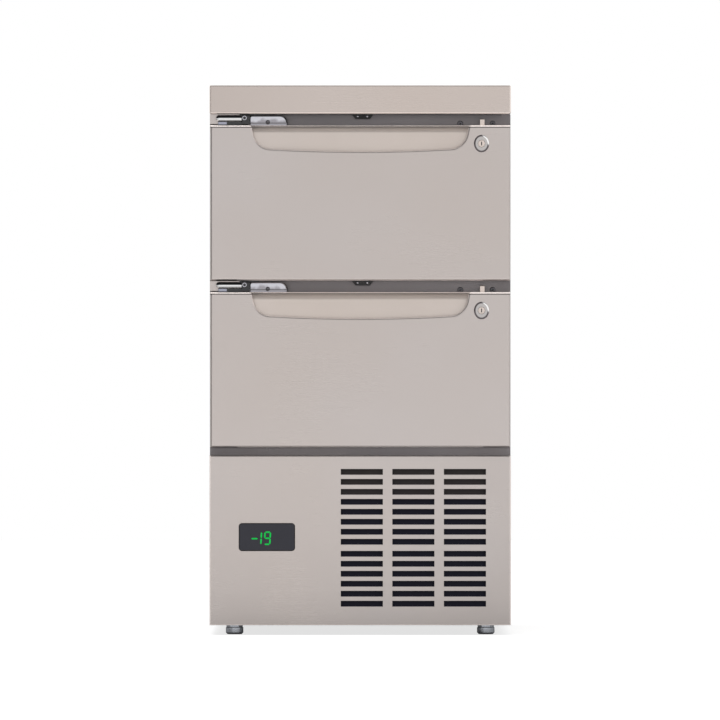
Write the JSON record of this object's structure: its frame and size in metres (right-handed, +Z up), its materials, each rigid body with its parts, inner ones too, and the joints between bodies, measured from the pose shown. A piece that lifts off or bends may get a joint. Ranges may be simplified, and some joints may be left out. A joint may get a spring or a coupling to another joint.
{
  "type": "undercounter drawer freezer",
  "caption": "Narrow stainless undercounter freezer with stacked insulated drawers, recessed pulls, key locks and a louvred machine compartment with a digital display.",
  "frame": {"origin": "on the floor under the middle of the cabinet, taking the lock bezels as its front", "axes": "+Z up, -Y out of the front, +X to the right of someone facing the front"},
  "size_m": [0.466, 0.75, 0.85],
  "materials": {
    "stainless": "brushed",
    "galvanised": "matt zinc",
    "insulation": "closed-cell foam with moulded plastic skin",
    "liner": "satin",
    "dark_frame": "satin",
    "chrome": "polished",
    "dark_screw": "satin",
    "black_plastic": "satin",
    "lens": "smoked, polished",
    "slide_steel": "bright zinc",
    "fins": "plain",
    "black_steel": "semi-gloss",
    "copper": "drawn copper",
    "nickel": "satin nickel",
    "seal": "matt"
  },
  "bodies": {
    "cabinet": {"worktop": "stainless", "side_panel_left": "stainless", "side_panel_right": "stainless", "service_panel": "stainless", "strike_brackets": "stainless", "back_panel": "galvanised", "base_tray": "galvanised", "rear_grille": "galvanised", "control_box": "galvanised", "condenser_shroud": "galvanised", "evaporator_cover": "galvanised", "cabinet_foam": "insulation", "worktop_core": "insulation", "inner_liner": "liner", "front_frame": "dark_frame", "mullion": "dark_frame", "catch_strikes": "chrome", "rail_screws": "dark_screw", "drawer_switches": "black_plastic", "display_module": "black_plastic", "cable_gland": "black_plastic", "display_lens": "lens", "slide_outer_upper": "slide_steel", "slide_outer_lower": "slide_steel", "evaporator": "fins", "condenser": "black_steel", "compressor": "black_steel", "condenser_fan_motor": "black_steel", "evaporator_fan_motor": "black_steel", "refrigerant_pipes": "copper"},
    "drawer_upper": {"front_skin_upper": "stainless", "handle_scoop_upper": "stainless", "front_core_upper": "insulation", "gasket_upper": "seal", "drawer_tub_upper": "stainless", "slide_inner_upper": "slide_steel", "catch_body_upper": "chrome", "catch_nose_upper": "black_plastic", "lock_bezel_upper": "chrome"},
    "slide_middle_upper": {"slide_middle_upper": "slide_steel"},
    "lock_barrel_upper": {"lock_barrel_upper": "nickel"},
    "lock_bolt_upper": {"lock_bolt_upper": "nickel"},
    "drawer_lower": {"front_skin_lower": "stainless", "handle_scoop_lower": "stainless", "front_core_lower": "insulation", "gasket_lower": "seal", "drawer_tub_lower": "stainless", "slide_inner_lower": "slide_steel", "catch_body_lower": "chrome", "catch_nose_lower": "black_plastic", "lock_bezel_lower": "chrome"},
    "slide_middle_lower": {"slide_middle_lower": "slide_steel"},
    "lock_barrel_lower": {"lock_barrel_lower": "nickel"},
    "lock_bolt_lower": {"lock_bolt_lower": "nickel"},
    "foot_front_left": {"foot_front_left": "chrome"},
    "foot_front_right": {"foot_front_right": "chrome"},
    "foot_rear_left": {"foot_rear_left": "chrome"},
    "foot_rear_right": {"foot_rear_right": "chrome"},
    "condenser_fan": {"condenser_fan": "black_plastic"},
    "evaporator_fan": {"evaporator_fan": "black_plastic"}
  },
  "joints": [
    {"name": "drawer_upper_slide", "type": "slide", "parent": "cabinet", "child": "drawer_upper", "axis": [0, -1, 0], "range_m": [0, 0.5]},
    {"name": "slide_middle_upper_slide", "type": "slide", "parent": "cabinet", "child": "slide_middle_upper", "axis": [0, -1, 0], "range_m": [0, 0.25]},
    {"name": "lock_upper_turn", "type": "hinge", "parent": "drawer_upper", "child": "lock_barrel_upper", "pos_m": [0.1876, -0.373, 0.76], "axis": [0, 1, 0], "range_deg": [0, 90]},
    {"name": "bolt_upper_lift", "type": "slide", "parent": "drawer_upper", "child": "lock_bolt_upper", "axis": [0, 0, 1], "range_m": [0, 0.012]},
    {"name": "drawer_lower_slide", "type": "slide", "parent": "cabinet", "child": "drawer_lower", "axis": [0, -1, 0], "range_m": [0, 0.5]},
    {"name": "slide_middle_lower_slide", "type": "slide", "parent": "cabinet", "child": "slide_middle_lower", "axis": [0, -1, 0], "range_m": [0, 0.25]},
    {"name": "lock_lower_turn", "type": "hinge", "parent": "drawer_lower", "child": "lock_barrel_lower", "pos_m": [0.1876, -0.373, 0.502], "axis": [0, 1, 0], "range_deg": [0, 90]},
    {"name": "bolt_lower_lift", "type": "slide", "parent": "drawer_lower", "child": "lock_bolt_lower", "axis": [0, 0, 1], "range_m": [0, 0.012]},
    {"name": "condenser_fan_spin", "type": "hinge", "parent": "cabinet", "child": "condenser_fan", "pos_m": [0.0825, -0.24, 0.14], "axis": [0, 1, 0], "continuous": true},
    {"name": "evaporator_fan_spin", "type": "hinge", "parent": "cabinet", "child": "evaporator_fan", "pos_m": [0, 0.262, 0.64], "axis": [0, 1, 0], "continuous": true},
    {"name": "foot_front_left_turn", "type": "hinge", "parent": "cabinet", "child": "foot_front_left", "pos_m": [-0.195, -0.29, 0], "axis": [0, 0, 1], "continuous": true},
    {"name": "foot_front_right_turn", "type": "hinge", "parent": "cabinet", "child": "foot_front_right", "pos_m": [0.195, -0.29, 0], "axis": [0, 0, 1], "continuous": true},
    {"name": "foot_rear_left_turn", "type": "hinge", "parent": "cabinet", "child": "foot_rear_left", "pos_m": [-0.195, 0.33, 0], "axis": [0, 0, 1], "continuous": true},
    {"name": "foot_rear_right_turn", "type": "hinge", "parent": "cabinet", "child": "foot_rear_right", "pos_m": [0.195, 0.33, 0], "axis": [0, 0, 1], "continuous": true}
  ],
  "couplings": [
    {"joint": "slide_middle_upper_slide", "follows": "drawer_upper_slide", "ratio": 0.5},
    {"joint": "bolt_upper_lift", "follows": "lock_upper_turn", "m_per_rad": 0.0076394},
    {"joint": "slide_middle_lower_slide", "follows": "drawer_lower_slide", "ratio": 0.5},
    {"joint": "bolt_lower_lift", "follows": "lock_lower_turn", "m_per_rad": 0.0076394}
  ]
}
